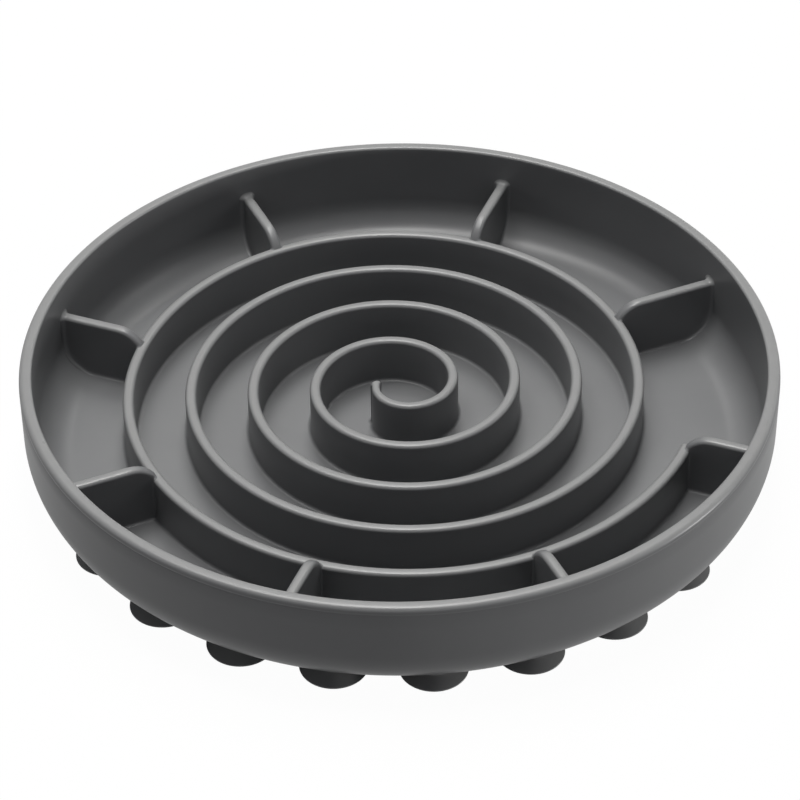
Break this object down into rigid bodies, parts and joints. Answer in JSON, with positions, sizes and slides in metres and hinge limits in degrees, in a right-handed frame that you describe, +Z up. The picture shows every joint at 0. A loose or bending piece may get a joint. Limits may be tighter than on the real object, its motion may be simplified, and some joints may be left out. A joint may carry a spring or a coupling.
{
  "type": "slow feeder bowl",
  "caption": "Round soft silicone pet bowl with a spiral wall and short dividers that slow eating, standing on a ring of suction cups.",
  "frame": {"origin": "on the bowl's axis, on the plane of the suction cups' lips", "axes": "+Z up along the bowl's axis, -Y to the viewer of the picture, +X to the viewer's right"},
  "size_m": [0.22, 0.22, 0.035],
  "materials": {
    "silicone": "matte dark grey moulded silicone with a soft sheen",
    "cup_silicone": "matte dark grey moulded silicone, smoother on the cups"
  },
  "bodies": {
    "root": {"floor_disc": "silicone", "outer_wall_1": "silicone", "outer_wall_2": "silicone", "outer_wall_3": "silicone", "outer_wall_4": "silicone", "spiral_run_1": "silicone", "spiral_run_2": "silicone", "spiral_run_3": "silicone", "spiral_run_4": "silicone", "spiral_run_5": "silicone", "divider_1": "silicone", "divider_2": "silicone", "divider_3": "silicone", "divider_4": "silicone", "divider_5": "silicone", "divider_6": "silicone", "divider_7": "silicone", "divider_8": "silicone", "suction_cup_01": "cup_silicone", "suction_cup_02": "cup_silicone", "suction_cup_03": "cup_silicone", "suction_cup_04": "cup_silicone", "suction_cup_05": "cup_silicone", "suction_cup_06": "cup_silicone", "suction_cup_07": "cup_silicone", "suction_cup_08": "cup_silicone", "suction_cup_09": "cup_silicone", "suction_cup_10": "cup_silicone", "suction_cup_11": "cup_silicone", "suction_cup_12": "cup_silicone", "suction_cup_13": "cup_silicone", "suction_cup_14": "cup_silicone", "suction_cup_15": "cup_silicone", "suction_cup_16": "cup_silicone", "suction_cup_17": "cup_silicone", "suction_cup_18": "cup_silicone", "suction_cup_19": "cup_silicone", "suction_cup_20": "cup_silicone", "suction_cup_21": "cup_silicone", "suction_cup_22": "cup_silicone"}
  },
  "joints": []
}
